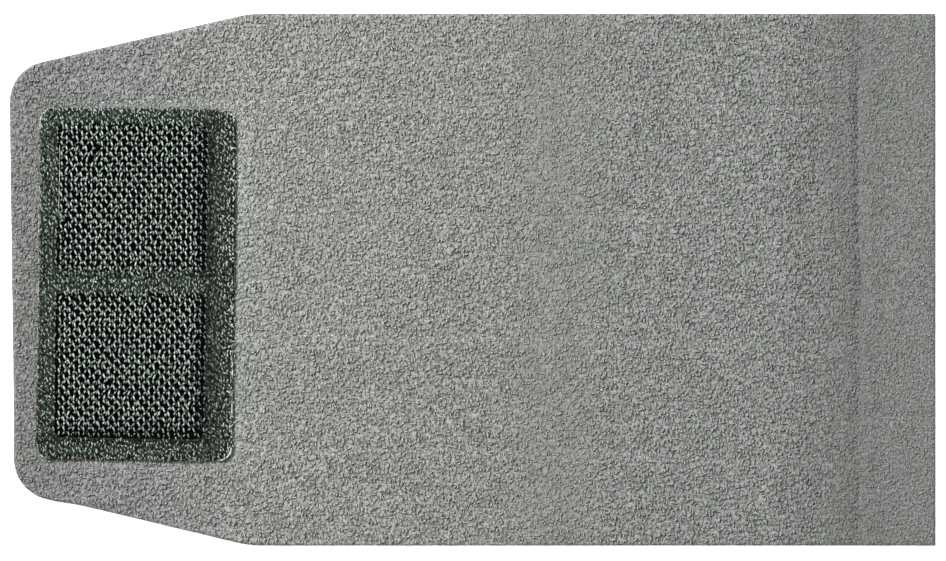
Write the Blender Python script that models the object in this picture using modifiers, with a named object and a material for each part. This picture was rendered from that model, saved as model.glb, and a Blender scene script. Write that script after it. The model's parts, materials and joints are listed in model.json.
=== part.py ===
"""Closure end of a motorcycle back protector's waist belt: a quilted loop-faced laminate with a welded hook patch.

Metres, +Z up from the surface it lies on. +X runs along the belt, away from the hook tip, and +Y is across it.
The belt end bends at two places, so it is three bodies: the hook end, the middle panel and the anchor end.
"""

import math

import bmesh
import bpy
from mathutils import Matrix, Vector

# --- outline of the belt end -------------------------------------------------
LENGTH = 0.1946
WIDTH = 0.1118
TIP_WIDTH = 0.0882        # across the two tip corners, before they are rounded
TAPER_LENGTH = 0.0504
TIP_SLANT = 0.0011        # how far the lower tip corner lies behind the upper one
TIP_RADIUS = 0.0088
SHOULDER_RADIUS = 0.060
ARC_STEPS = 10

# --- the two bending lines -----------------------------------------------------
CREASE_X = 0.0173         # the worn fold, where the end doubles back on itself
ANCHOR_X = 0.0812         # the flex line beside the sewing allowance
CREASE_AXIS_ABOVE = 0.0015  # above the loop face, so that the closed fold leaves room for the hooks
CREASE_SETBACK = {"loop_facing": 0.0009, "foam_core": 0.0014, "lining": 0.0018}
ANCHOR_SETBACK = {"loop_facing": 0.0010, "foam_core": 0.0009, "lining": 0.0018}

# --- layers, from the surface upwards --------------------------------------------
AIR = 0.0003              # between neighbours that touch on the real laminate
LINING = 0.0009
FOAM = 0.0015
FACING = 0.0012
TAPE = 0.0004
WELD = 0.0004
HOOKS = 0.0013
FOAM_INSET = 0.0004

# --- quilting --------------------------------------------------------------------
ROW_Y = (0.0373, 0.0135, -0.0124, -0.0358)
ROW_START_X = -0.0820
ROW_END_GAP = 0.0010
SEAM_X = 0.0835           # the sewn line on the anchor end
SEAM_INSET = 0.0050
THREAD_RADIUS = 0.00016
CHANNEL_WIDTH = 0.0010
CHANNEL_DEPTH = 0.0006
LOWER_CHANNEL_DEPTH = 0.00065

# --- hook patch ------------------------------------------------------------------
PATCH_CENTRE = (-0.0707, -0.0010)
PATCH_SIZE = (0.0412, 0.0740)
PATCH_TURN = math.radians(-0.7)
PATCH_CORNER = 0.0028
RIM = {"left": 0.0038, "right": 0.0057, "top": 0.0031, "bottom": 0.0044}
BAR_CENTRE_Y = 0.0004     # of the cross bar, from the patch's own centre
BAR_WIDTH = 0.0044
CELL_CORNER = 0.0018
CELL_CROWN = 0.0005
PILLOW = 0.00012          # how far the tape base's edges are rounded

LINING_TOP = LINING
FOAM_BOTTOM = LINING_TOP + AIR
FOAM_TOP = FOAM_BOTTOM + FOAM
FACING_BOTTOM = FOAM_TOP + AIR
FACING_TOP = FACING_BOTTOM + FACING
TAPE_BOTTOM = FACING_TOP + AIR
TAPE_TOP = TAPE_BOTTOM + TAPE
PATCH_TOP_BOTTOM = TAPE_TOP + AIR
CREASE_AXIS = Vector((CREASE_X, 0, FACING_TOP + CREASE_AXIS_ABOVE))
ANCHOR_AXIS = Vector((ANCHOR_X, 0, FACING_TOP / 2))


def clear_scene():
    for obj in list(bpy.data.objects):
        bpy.data.objects.remove(obj, do_unlink=True)


def new_collection(name):
    made = bpy.data.collections.new(name)
    bpy.context.scene.collection.children.link(made)
    return made


def new_material(name, colour, roughness, metallic=0.0):
    made = bpy.data.materials.new(name)
    made.use_nodes = True
    made.diffuse_color = (*colour, 1)
    shader = made.node_tree.nodes["Principled BSDF"]
    shader.inputs["Base Color"].default_value = (*colour, 1)
    shader.inputs["Roughness"].default_value = roughness
    shader.inputs["Metallic"].default_value = metallic
    return made


def rounded(corners):
    """The closed outline through (point, radius) corners, with each corner turned into an arc."""
    outline = []
    for i, (corner, radius) in enumerate(corners):
        before = (corners[i - 1][0] - corner).normalized()
        after = (corners[(i + 1) % len(corners)][0] - corner).normalized()
        half = before.angle(after) / 2
        if radius == 0:
            outline.append(corner)
            continue
        centre = corner + (before + after).normalized() * (radius / math.sin(half))
        first = corner + before * (radius / math.tan(half)) - centre
        last = corner + after * (radius / math.tan(half)) - centre
        sweep = first.angle_signed(last)
        for step in range(ARC_STEPS + 1):
            outline.append(centre + Matrix.Rotation(-sweep * step / ARC_STEPS, 2) @ first)
    return outline


def belt_outline(x_from, x_to, inset=0.0):
    """The belt between two places along it. Its left end is the tapered tip when x_from is None."""
    top, bottom = WIDTH / 2 - inset, -WIDTH / 2 + inset
    right = [(Vector((x_to, bottom)), 0), (Vector((x_to, top)), 0)]
    if x_from is not None:
        left = [(Vector((x_from, top)), 0), (Vector((x_from, bottom)), 0)]
        return rounded(right + left)
    tip_x = -LENGTH / 2 + inset
    shoulder_x = -LENGTH / 2 + TAPER_LENGTH
    tip_y = TIP_WIDTH / 2 - inset
    left = [
        (Vector((shoulder_x, top)), SHOULDER_RADIUS),
        (Vector((tip_x - TIP_SLANT * 0.1, tip_y)), TIP_RADIUS),
        (Vector((tip_x + TIP_SLANT, -tip_y)), TIP_RADIUS),
        (Vector((shoulder_x, bottom)), SHOULDER_RADIUS),
    ]
    return rounded(right + left)


def rectangle(x_from, x_to, y_from, y_to, radius):
    """A rounded rectangle on the patch's own axes, turned and placed with the patch."""
    turn = Matrix.Rotation(PATCH_TURN, 2)
    corners = [(x_to, y_from), (x_to, y_to), (x_from, y_to), (x_from, y_from)]
    return rounded([(Vector(PATCH_CENTRE) + turn @ Vector(c), radius) for c in corners])


def sheet(name, outline, bottom, top, material, holes=()):
    """A flat closed solid: a filled 2D curve given its thickness, made into a welded mesh."""
    curve = bpy.data.curves.new(name, "CURVE")
    curve.dimensions = "2D"
    curve.fill_mode = "BOTH"
    curve.extrude = (top - bottom) / 2
    for loop in (outline, *holes):
        spline = curve.splines.new("POLY")
        spline.points.add(len(loop) - 1)
        for point, place in zip(spline.points, loop):
            point.co = (place.x, place.y, 0, 1)
        spline.use_cyclic_u = True
    drawn = bpy.data.objects.new(name + "_drawn", curve)
    bpy.context.scene.collection.objects.link(drawn)
    drawn.location.z = (bottom + top) / 2
    bpy.context.view_layer.update()
    graph = bpy.context.evaluated_depsgraph_get()
    mesh = bpy.data.meshes.new_from_object(drawn.evaluated_get(graph))
    made = bpy.data.objects.new(name, mesh)
    made.matrix_world = drawn.matrix_world
    bpy.data.objects.remove(drawn, do_unlink=True)
    shape = bmesh.new()
    shape.from_mesh(mesh)
    bmesh.ops.remove_doubles(shape, verts=shape.verts, dist=1e-6)
    bmesh.ops.recalc_face_normals(shape, faces=shape.faces)
    shape.to_mesh(mesh)
    shape.free()
    mesh.materials.clear()
    mesh.materials.append(material)
    return made


def channel(name, x_from, x_to, y_from, y_to, z_from, z_to):
    """A box that cuts a stitch channel."""
    bpy.ops.mesh.primitive_cube_add(size=1)
    made = bpy.context.object
    made.name = name
    made.location = ((x_from + x_to) / 2, (y_from + y_to) / 2, (z_from + z_to) / 2)
    made.scale = (x_to - x_from, y_to - y_from, z_to - z_from)
    made.hide_render = True
    made.display_type = "WIRE"
    for collection in list(made.users_collection):
        collection.objects.unlink(made)
    cutters.objects.link(made)
    return made


def cut(node, cutter):
    boolean = node.modifiers.new(cutter.name, "BOOLEAN")
    boolean.operation = "DIFFERENCE"
    boolean.solver = "EXACT"
    boolean.object = cutter


def thread(name, start, end):
    """One sewing thread, as it lies along its channel."""
    curve = bpy.data.curves.new(name, "CURVE")
    curve.dimensions = "3D"
    curve.bevel_depth = THREAD_RADIUS
    curve.bevel_resolution = 2
    curve.use_fill_caps = True
    spline = curve.splines.new("POLY")
    spline.points.add(1)
    for point, place in zip(spline.points, (start, end)):
        point.co = (*place, 1)
    made = bpy.data.objects.new(name, curve)
    made.data.materials.append(thread_grey)
    return made


def soften(node, width, segments=2):
    """Rounds the sharp edges of a welded piece."""
    bevel = node.modifiers.new("soft_edge", "BEVEL")
    bevel.width = width
    bevel.segments = segments
    bevel.limit_method = "ANGLE"
    bevel.angle_limit = math.radians(50)


def laminate(body, x_from, x_to, setbacks_left, setbacks_right):
    """The three layers of one body between its bending lines, from the lining up to the loop facing."""
    layers = {}
    for layer, (bottom, top, inset, material) in layer_heights.items():
        left = None if x_from is None else x_from + setbacks_left[layer]
        free_end = x_to - inset if setbacks_right is None else x_to - setbacks_right[layer]
        outline = belt_outline(left, free_end, inset)
        layers[layer] = sheet(f"{layer}_{body}", outline, bottom, top, material)
    return layers


def flex_webs(line, x, setbacks):
    """The narrow stretches of the facing and of the lining that bend at one bending line."""
    webs = []
    for layer in ("loop_facing", "lining"):
        bottom, top, inset, material = layer_heights[layer]
        reach = setbacks[layer] - AIR
        outline = belt_outline(x - reach, x + reach, inset)
        webs.append(sheet(f"{layer}_{line}_web", outline, bottom, top, material))
    return webs


def quilt(body, layers, x_from, x_to, left_open, right_open):
    """Four needle threads on the loop face and four bobbin threads on the lining, each in its channel."""
    past = 0.002
    cut_from = x_from - (past if left_open else AIR)
    cut_to = x_to + (past if right_open else AIR)
    needle_z = FACING_TOP - CHANNEL_DEPTH + AIR + THREAD_RADIUS
    bobbin_z = LOWER_CHANNEL_DEPTH - AIR - THREAD_RADIUS
    threads = []
    for row, y in enumerate(ROW_Y, start=1):
        y_from, y_to = y - CHANNEL_WIDTH / 2, y + CHANNEL_WIDTH / 2
        upper = channel(f"channel_{row}_{body}", cut_from, cut_to, y_from, y_to,
                        FACING_TOP - CHANNEL_DEPTH, FACING_TOP + past)
        lower = channel(f"lower_channel_{row}_{body}", cut_from, cut_to, y_from, y_to,
                        -past, LOWER_CHANNEL_DEPTH)
        cut(layers["loop_facing"], upper)
        cut(layers["lining"], lower)
        threads.append(thread(f"needle_thread_{row}_{body}", (x_from, y, needle_z), (x_to, y, needle_z)))
        threads.append(thread(f"bobbin_thread_{row}_{body}", (x_from, y, bobbin_z), (x_to, y, bobbin_z)))
    return threads


def anchor_seam(layers):
    """The needle and bobbin threads of the seam across the anchor end."""
    past = 0.002
    reach = WIDTH / 2 - SEAM_INSET
    x_from, x_to = SEAM_X - CHANNEL_WIDTH / 2, SEAM_X + CHANNEL_WIDTH / 2
    needle_z = FACING_TOP - CHANNEL_DEPTH + AIR + THREAD_RADIUS
    bobbin_z = LOWER_CHANNEL_DEPTH - AIR - THREAD_RADIUS
    upper = channel("channel_seam", x_from, x_to, -reach - AIR, reach + AIR,
                    FACING_TOP - CHANNEL_DEPTH, FACING_TOP + past)
    lower = channel("lower_channel_seam", x_from, x_to, -reach - AIR, reach + AIR,
                    -past, LOWER_CHANNEL_DEPTH)
    cut(layers["loop_facing"], upper)
    cut(layers["lining"], lower)
    return [
        thread("seam_needle_thread", (SEAM_X, -reach, needle_z), (SEAM_X, reach, needle_z)),
        thread("seam_bobbin_thread", (SEAM_X, -reach, bobbin_z), (SEAM_X, reach, bobbin_z)),
    ]


def hook_patch():
    """The hook tape: its base, the crushed welded frame round two cells, and the two fields of standing hooks."""
    half_x, half_y = PATCH_SIZE[0] / 2, PATCH_SIZE[1] / 2
    cell_left, cell_right = -half_x + RIM["left"], half_x - RIM["right"]
    upper = (BAR_CENTRE_Y + BAR_WIDTH / 2, half_y - RIM["top"])
    lower = (-half_y + RIM["bottom"], BAR_CENTRE_Y - BAR_WIDTH / 2)
    base = sheet("hook_tape_base", rectangle(-half_x, half_x, -half_y, half_y, PATCH_CORNER),
                 TAPE_BOTTOM, TAPE_TOP, tape_black)
    soften(base, PILLOW)
    windows = [rectangle(cell_left, cell_right, y0, y1, CELL_CORNER) for y0, y1 in (upper, lower)]
    frame = sheet("weld_frame", rectangle(-half_x, half_x, -half_y, half_y, PATCH_CORNER),
                  PATCH_TOP_BOTTOM, PATCH_TOP_BOTTOM + WELD, weld_black, holes=windows)
    fields = []
    for name, (y0, y1) in {"hook_field_upper": upper, "hook_field_lower": lower}.items():
        outline = rectangle(cell_left + AIR, cell_right - AIR, y0 + AIR, y1 - AIR, CELL_CORNER - AIR)
        field = sheet(name, outline, PATCH_TOP_BOTTOM, PATCH_TOP_BOTTOM + HOOKS, hook_black)
        soften(field, CELL_CROWN)
        fields.append(field)
    return [base, frame, *fields]


def place(body, pieces, pivot):
    """Puts a body's pieces in the object's collection, under an empty on the axis that the body turns about."""
    centre = bpy.data.objects.new(body, None)
    centre.empty_display_size = 0.01
    centre.location = pivot
    belt_end.objects.link(centre)
    bpy.context.view_layer.update()
    for piece in pieces:
        belt_end.objects.link(piece)
        piece.parent = centre
        piece.matrix_parent_inverse = centre.matrix_world.inverted()


clear_scene()
belt_end = new_collection("back_protector_belt_end")
cutters = new_collection("cutters")

loop_grey = new_material("loop_pile_grey", (0.262, 0.266, 0.258), 0.95)
foam_dark = new_material("foam_charcoal", (0.035, 0.035, 0.037), 0.90)
lining_black = new_material("lining_black", (0.020, 0.021, 0.022), 0.80)
tape_black = new_material("hook_tape_black", (0.012, 0.014, 0.013), 0.60)
weld_black = new_material("weld_black", (0.040, 0.048, 0.043), 0.35)
hook_black = new_material("hook_nylon_black", (0.018, 0.022, 0.020), 0.40)
thread_grey = new_material("thread_grey", (0.380, 0.385, 0.375), 0.60)

layer_heights = {
    "lining": (0, LINING_TOP, 0.0, lining_black),
    "foam_core": (FOAM_BOTTOM, FOAM_TOP, FOAM_INSET, foam_dark),
    "loop_facing": (FACING_BOTTOM, FACING_TOP, 0.0, loop_grey),
}
hook_end = laminate("hook_end", None, CREASE_X, None, CREASE_SETBACK)
middle = laminate("middle_panel", CREASE_X, ANCHOR_X, CREASE_SETBACK, ANCHOR_SETBACK)
anchor = laminate("anchor_end", ANCHOR_X, LENGTH / 2, ANCHOR_SETBACK, None)
webs = flex_webs("crease", CREASE_X, CREASE_SETBACK) + flex_webs("anchor", ANCHOR_X, ANCHOR_SETBACK)

row_break = CREASE_SETBACK["lining"]
row_stop = ANCHOR_X - ANCHOR_SETBACK["loop_facing"] - ROW_END_GAP
hook_rows = quilt("hook_end", hook_end, ROW_START_X, CREASE_X - row_break, False, True)
middle_rows = quilt("middle_panel", middle, CREASE_X + row_break, row_stop, True, False)

place("hook_end", [*hook_end.values(), *hook_rows, *hook_patch()], CREASE_AXIS)
place("middle_panel", [*middle.values(), *middle_rows, *webs], Vector((0, 0, 0)))
place("anchor_end", [*anchor.values(), *anchor_seam(anchor)], ANCHOR_AXIS)
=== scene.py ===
"""Looks of a back protector's belt end: loop pile, quilting rows and a welded hook patch on a foam laminate.

Metres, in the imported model's frame: +X along the belt from the hook tip, +Y across it, +Z out of the face.
"""

import json
import math

import bpy
import numpy as np
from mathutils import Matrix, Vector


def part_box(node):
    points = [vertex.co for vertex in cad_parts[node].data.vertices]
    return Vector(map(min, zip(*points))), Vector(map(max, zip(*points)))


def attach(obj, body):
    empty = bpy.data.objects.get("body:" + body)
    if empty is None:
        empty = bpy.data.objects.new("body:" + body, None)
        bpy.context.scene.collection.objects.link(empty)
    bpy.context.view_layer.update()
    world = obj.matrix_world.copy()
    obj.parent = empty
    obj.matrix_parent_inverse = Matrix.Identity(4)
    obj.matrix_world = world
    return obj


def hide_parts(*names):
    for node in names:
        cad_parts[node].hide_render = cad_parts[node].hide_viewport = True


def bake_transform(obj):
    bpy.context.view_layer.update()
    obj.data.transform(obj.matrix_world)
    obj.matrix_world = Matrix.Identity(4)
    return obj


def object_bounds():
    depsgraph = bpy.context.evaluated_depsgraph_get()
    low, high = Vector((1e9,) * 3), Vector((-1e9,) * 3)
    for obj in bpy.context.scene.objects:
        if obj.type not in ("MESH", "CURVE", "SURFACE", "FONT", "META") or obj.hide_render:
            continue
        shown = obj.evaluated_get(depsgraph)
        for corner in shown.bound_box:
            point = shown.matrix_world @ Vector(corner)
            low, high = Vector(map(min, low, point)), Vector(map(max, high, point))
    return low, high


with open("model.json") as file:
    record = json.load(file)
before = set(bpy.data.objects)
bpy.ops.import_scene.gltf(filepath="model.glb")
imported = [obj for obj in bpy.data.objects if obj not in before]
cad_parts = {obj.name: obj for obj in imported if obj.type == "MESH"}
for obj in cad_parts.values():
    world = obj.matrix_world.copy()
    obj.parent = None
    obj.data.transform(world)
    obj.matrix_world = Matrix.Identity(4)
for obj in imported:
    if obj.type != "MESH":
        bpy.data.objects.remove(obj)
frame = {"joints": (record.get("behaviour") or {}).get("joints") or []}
cad_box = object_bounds()

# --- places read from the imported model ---
LEFT, RIGHT = cad_box[0].x, cad_box[1].x
HALF_WIDTH = cad_box[1].y
FACING_BOTTOM, FACE_Z = (corner.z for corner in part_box("loop_facing_hook_end"))
LINING_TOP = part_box("lining_hook_end")[1].z
TAPE_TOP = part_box("hook_tape_base")[1].z
HOOK_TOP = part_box("hook_field_upper")[1].z
JOINTS = {joint["name"]: joint for joint in frame["joints"]}
CREASE_X = JOINTS["crease_fold"]["pos_m"][0]
ANCHOR_X = JOINTS["anchor_fold"]["pos_m"][0]
ROWS = (1, 2, 3, 4)
ROWS_Y = [sum(corner.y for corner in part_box(f"needle_thread_{row}_hook_end")) / 2 for row in ROWS]
ROW_START_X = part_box("needle_thread_1_hook_end")[0].x
ROW_END_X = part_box("needle_thread_1_middle_panel")[1].x
SEAM_X = sum(corner.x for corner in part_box("seam_needle_thread")) / 2
SEAM_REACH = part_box("seam_needle_thread")[1].y

# --- the belt's outline, as in the design but for a crisper shoulder and a fuller lower corner ---
TIP_WIDTH = 0.0882
TAPER_LENGTH = 0.0504
TIP_SLANT = 0.0011
TIP_RADIUS = 0.0088
SHOULDER_RADIUS = 0.025
CORNER_FILL = 0.0004        # how much further out the tip's lower corner reaches
TAPER = math.atan2(HALF_WIDTH - TIP_WIDTH / 2, TAPER_LENGTH)
TIP_FLAT = TIP_WIDTH / 2 - TIP_RADIUS * math.tan((math.pi / 2 - TAPER) / 2)

# --- the hook patch, a touch smaller than in the design ---
PATCH_CENTRE = np.array((-0.0707, -0.001))
PATCH_HALF = np.array((0.0205, 0.0368))
PATCH_TURN = math.radians(-0.7)
PATCH_CORNER = 0.0028
RIM_LEFT, RIM_RIGHT, RIM_TOP, RIM_BOTTOM = 0.0038, 0.0057, 0.0031, 0.0044
BAR_CENTRE_Y, BAR_WIDTH = 0.0004, 0.0044
CELL_CORNER = 0.0018
CELL_X = (-PATCH_HALF[0] + RIM_LEFT, PATCH_HALF[0] - RIM_RIGHT)
CELLS_Y = {
    "upper": (BAR_CENTRE_Y + BAR_WIDTH / 2, PATCH_HALF[1] - RIM_TOP),
    "lower": (-PATCH_HALF[1] + RIM_BOTTOM, BAR_CENTRE_Y - BAR_WIDTH / 2),
}
# pale beads of weld melt along the patch's edge, their paleness a painted highlight where that edge catches
# the light
FLASH_BEADS = (            # corner's side in u and v, run along the outline from that corner, thickness, gaps
    (1, -1, -0.0022, 0.0024, 0.00024, 0.0),
    (1, -1, -0.024, -0.003, 0.00022, 0.6),
    (-1, -1, -0.0014, 0.0016, 0.00016, 0.2),
    (-1, 1, -0.004, 0.001, 0.00017, 0.1),
    (-1, 1, -0.06, -0.007, 0.0001, 0.4),
)
HIGHLIGHT_LINE_U, HIGHLIGHT_LINE_V = -0.01625, (0.0135, 0.029)     # a thin pale line beside the upper cell's left edge, a painted highlight where that edge catches the light
HIGHLIGHT_LINE_RADIUS = 0.000085
FLASH_POINTS = 90
HOOK_PITCH_X = 0.00105
HOOK_PITCH_Y = 0.002176
HOOK_JITTER = (0.00005, 0.00009)
HOOK_LEANS = (0.18, 0.48)
BACK_LEANING = 0.09        # the share of the hooks that lean the other way
HOOK_RADIUS = 0.0002
LEG_RADIUS = 0.00018
ROOT_Z = TAPE_TOP - 0.0001
FRAME_Z = TAPE_TOP + 0.0003
FRAME_VALLEY = (0.0005, 0.0014)                          # how deep the frame is pressed, and over what width
FRAME_EDGE = (0.0003, 0.0008)
FRAME_ROLL = (0.0002, 0.0006)
HOOKS_PAST = {"upper": 0.0009, "lower": 0.0003}          # how far hooks stand beyond a window's upper edge
LOW_END = {"upper": 0.00035, "lower": 0.00095}           # how much lower they are at its lower end
HOOK_SEEDS = {"upper": 41, "lower": 42}

# --- the cloth ---
SPLIT_X = 0.06             # the cloth is two pieces that meet here, one for each bending line
PILE_BREAKS = (LEFT - 0.01, -0.045, 0.008, SPLIT_X, RIGHT + 0.01)     # where the pile is parted into pieces
GROUND_DEPTH = 0.00052     # the knitted ground lies this far under the tips of the pile
EDGE_ROLL, EDGE_DROP = 0.0009, 0.00045      # how far in the cloth's edge starts to roll, and how far down
RIB_PITCH = 0.0012
RIB_TILT = math.radians(4.75)
LOOP_SPACING = 0.00062
LOOP_HEIGHT = 0.00052
LOOP_RADIUS = 0.000135
LOOP_HEADING, LOOP_STRAY = math.radians(105), 0.9      # most loops lean across the belt
LOOP_SPANS = (0.00045, 0.0009)
LOOP_CURL = 0.00025
LOOP_LIFTS = (0.35, 1.15)
LOOP_THICKNESSES = (0.8, 1.25)
STITCH = 0.00283
THREAD_RADIUS = 0.0002
ROW_SAG = (0.0013, 0.0006, 0.0008, 0.0024)     # how far each row drops towards the anchor end
ROW_LIFT = (0.0, 0.0, 0.0006, 0.0)             # how far it rises towards the tip
ROW_DEPTH = (0.00016, 0.0003, 0.00016, 0.0003)     # how far each row's thread sinks out of sight
CREST_RADII = (0.7, 0.85, 1, 1.2, 1, 0.85, 0.7)    # a quilting stitch's thickness along it
GRAIN = (1.35, 0.85, 1)    # the loops lean across the belt, so the grain is drawn out that way
MATTED = 0.00045           # the size of the tufts where the pile is matted
WAVE_BANDS = 6.366         # how many bands a wave texture of scale 1 draws in two units

# --- relief of the face: how high or deep, and how far it spreads ---
WAVES = ((0.0001, 0.013, 1), (0.00006, 0.0045, 2))        # height, cell, seed
CREASE_RIDGE = (0.00025, 0.0035)
GROOVE_DEPTH, GROOVE_SPREAD = 0.0004, 0.0009
GROOVE_LIP, LIP_PLACE = (0.0002, 0.001), 0.0024
ROW_PULL = (0.00016, 0.001)
SEAM_PULL = (0.00012, 0.0008)
PATCH_PRESS = (0.00018, 0.0016)

# --- the stage ---
CAMERA_LENS = 200
CAMERA_WIDTH = 0.1987      # of the loop face that the picture takes in
CAMERA_PLACE = (0.0001, -0.0002)
SKY = (0.93, 0.97, 1.0, 1)
SKY_STRENGTH = 0.345
LAMPS = (("key", (-0.58, 0.5, 0.86), 0.26, 25.0), ("fill", (0.55, -0.3, 0.9), 0.6, 3.5))    # at, size, watts
TABLE_SIZE, TABLE_Z = 3, -0.0002


# --- small tools ---

def smooth(value):
    """0 below 0, 1 above 1, and a soft step between."""
    value = np.clip(value, 0, 1)
    return value * value * (3 - 2 * value)


def bell(distance, width):
    return np.exp(-(distance / width) ** 2)


def relief(distance, shape):
    """A soft ridge of a shape's height and width at that distance from its line."""
    return shape[0] * bell(distance, shape[1])


def value_noise(x, y, cell, seed):
    """Smooth noise from -1 to 1 over the plane, its lumps about one cell across."""
    lattice = np.random.RandomState(seed).uniform(-1, 1, (256, 256))
    i, j = np.floor(x / cell).astype(int), np.floor(y / cell).astype(int)
    s, t = smooth(x / cell - i), smooth(y / cell - j)
    near = lattice[i % 256, j % 256] * (1 - s) + lattice[(i + 1) % 256, j % 256] * s
    far = lattice[i % 256, (j + 1) % 256] * (1 - s) + lattice[(i + 1) % 256, (j + 1) % 256] * s
    return near * (1 - t) + far * t


def crosswise(heading):
    """The level directions across some headings in the plane."""
    return np.column_stack([-np.sin(heading), np.cos(heading), np.zeros(len(heading))])


def mesh_object(name, points, faces, material, sharp=50):
    """A mesh from an array of points and a list of face arrays, each with its own number of corners."""
    mesh = bpy.data.meshes.new(name)
    corners = np.concatenate([part.ravel() for part in faces]).astype(np.int32)
    sizes = np.concatenate([np.full(len(part), part.shape[1]) for part in faces])
    starts = np.concatenate([[0], np.cumsum(sizes)[:-1]]).astype(np.int32)
    mesh.vertices.add(len(points))
    mesh.vertices.foreach_set("co", np.asarray(points, np.float32).ravel())
    mesh.loops.add(len(corners))
    mesh.loops.foreach_set("vertex_index", corners)
    mesh.polygons.add(len(sizes))
    mesh.polygons.foreach_set("loop_start", starts)
    mesh.update(calc_edges=True)
    mesh.validate()
    mesh.shade_smooth()
    mesh.set_sharp_from_angle(angle=math.radians(sharp))
    mesh.materials.append(material)
    made = bpy.data.objects.new(name, mesh)
    bpy.context.scene.collection.objects.link(made)
    return made


def grid_quads(columns, rows):
    """The faces of a grid of points, by the points' numbers."""
    index = np.arange(columns * rows).reshape(columns, rows)
    return np.stack([index[:-1, :-1], index[1:, :-1], index[1:, 1:], index[:-1, 1:]], axis=-1).reshape(-1, 4)


def tubes(name, paths, sideways, radii, sides, material):
    """Round capped strands: paths is (strands, points, 3), sideways a level direction across each strand."""
    strands, steps = paths.shape[:2]
    along = np.gradient(paths, axis=1)
    along /= np.linalg.norm(along, axis=2, keepdims=True)
    across = np.repeat(sideways[:, None, :], steps, axis=1) if sideways.ndim == 2 else sideways
    upward = np.cross(across, along)
    upward /= np.linalg.norm(upward, axis=2, keepdims=True)
    turn = np.arange(sides) * 2 * math.pi / sides + math.pi / 2
    ring = (across[:, :, None, :] * np.cos(turn)[:, None] + upward[:, :, None, :] * np.sin(turn)[:, None])
    points = paths[:, :, None, :] + ring * np.broadcast_to(radii, (strands, steps))[:, :, None, None]
    index = np.arange(strands * steps * sides).reshape(strands, steps, sides)
    here, there = index[:, :-1], index[:, 1:]
    walls = np.stack([here, there, np.roll(there, -1, axis=2), np.roll(here, -1, axis=2)], axis=-1)
    ends = [index[:, 0, ::-1][:, ::-1], index[:, -1, ::-1]]
    return mesh_object(name, points.reshape(-1, 3), [walls.reshape(-1, 4), *ends], material, sharp=180)


def slab(name, flat, quads, top, bottom, material, bulge=0.0):
    """Closes flat quads into a sheet: a top, a bottom, and a swelling wall round every open edge."""
    edges = np.concatenate([quads[:, [k, (k + 1) % 4]] for k in range(4)])
    _, place, count = np.unique(np.sort(edges, axis=1), axis=0, return_inverse=True, return_counts=True)
    border = edges[count[place.ravel()] == 1]
    run = flat[border[:, 1]] - flat[border[:, 0]]
    outward = np.zeros_like(flat)
    for end in (0, 1):
        np.add.at(outward, border[:, end], np.column_stack([run[:, 1], -run[:, 0]]))
    length = np.linalg.norm(outward, axis=1, keepdims=True)
    outward = np.divide(outward, length, out=np.zeros_like(outward), where=length > 0)
    rim = np.unique(border)
    waist = np.full(len(flat), -1)
    waist[rim] = 2 * len(flat) + np.arange(len(rim))
    lumps = 1 + 0.6 * value_noise(flat[rim, 0], flat[rim, 1], 0.0011, 5)
    middle = flat[rim] + outward[rim] * (bulge * lumps)[:, None]
    points = np.concatenate([
        np.column_stack([flat, top]),
        np.column_stack([flat, bottom]),
        np.column_stack([middle, (top[rim] + bottom[rim]) / 2]),
    ])
    a, b = border.T
    low_a, low_b, mid_a, mid_b = a + len(flat), b + len(flat), waist[a], waist[b]
    walls = [np.column_stack([a, mid_a, mid_b, b]), np.column_stack([mid_a, low_a, low_b, mid_b])]
    return mesh_object(name, points, [quads, quads[:, ::-1] + len(flat), *walls], material)


# --- outlines ---

def tip_slant(y):
    """How far the slanting tip stands from a square one."""
    return TIP_SLANT * (0.45 - 0.55 * y / (TIP_WIDTH / 2))


def from_tip(x, y):
    """Distance along the belt from its slanting tip."""
    slant = tip_slant(y)
    near = (x + RIGHT - slant) / (1 - slant / TAPER_LENGTH)
    return np.where(near < TAPER_LENGTH, near, x + RIGHT)


def corner_fill(along, y):
    """How far a point is carried outwards by the fuller lower corner of the tip."""
    return CORNER_FILL * smooth(1.8 - along / TIP_RADIUS) * smooth((-y / HALF_WIDTH - 0.5) / 0.3)


def half_width(along):
    """Half of the belt's width: a rounded tip corner, the taper, a soft shoulder, then straight."""
    corner_end = TIP_RADIUS * (1 - math.sin(TAPER))
    reach = SHOULDER_RADIUS * math.tan(TAPER / 2)
    corner = TIP_FLAT + np.sqrt(np.maximum(TIP_RADIUS**2 - (TIP_RADIUS - along) ** 2, 0))
    taper = TIP_WIDTH / 2 + along * math.tan(TAPER)
    past = TAPER_LENGTH + reach - along
    shoulder = HALF_WIDTH - SHOULDER_RADIUS + np.sqrt(np.maximum(SHOULDER_RADIUS**2 - past**2, 0))
    taper_end = TAPER_LENGTH - reach * math.cos(TAPER)
    stretches = [along < corner_end, along < taper_end, along < TAPER_LENGTH + reach]
    return np.select(stretches, [corner, taper, shoulder], HALF_WIDTH)


def edge_distance(x, y):
    """How far inside the belt's cut edge a point lies."""
    fill = corner_fill(x + RIGHT, y)
    along, side = from_tip(x + 0.7 * fill, y + fill), np.abs(y + fill)
    taper = (TIP_WIDTH / 2 + along * math.tan(TAPER) - side) * math.cos(TAPER)
    straight = np.minimum.reduce([along, RIGHT - x, HALF_WIDTH - side, taper])
    corner = TIP_RADIUS - np.hypot(TIP_RADIUS - along, side - TIP_FLAT)
    in_corner = (along < TIP_RADIUS) & (side > TIP_FLAT)
    return np.where(in_corner, np.minimum(straight, corner), straight)


def patch_local(x, y):
    """A point on the patch's own axes, from its centre."""
    dx, dy = x - PATCH_CENTRE[0], y - PATCH_CENTRE[1]
    c, s = math.cos(PATCH_TURN), math.sin(PATCH_TURN)
    return dx * c + dy * s, dy * c - dx * s


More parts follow.
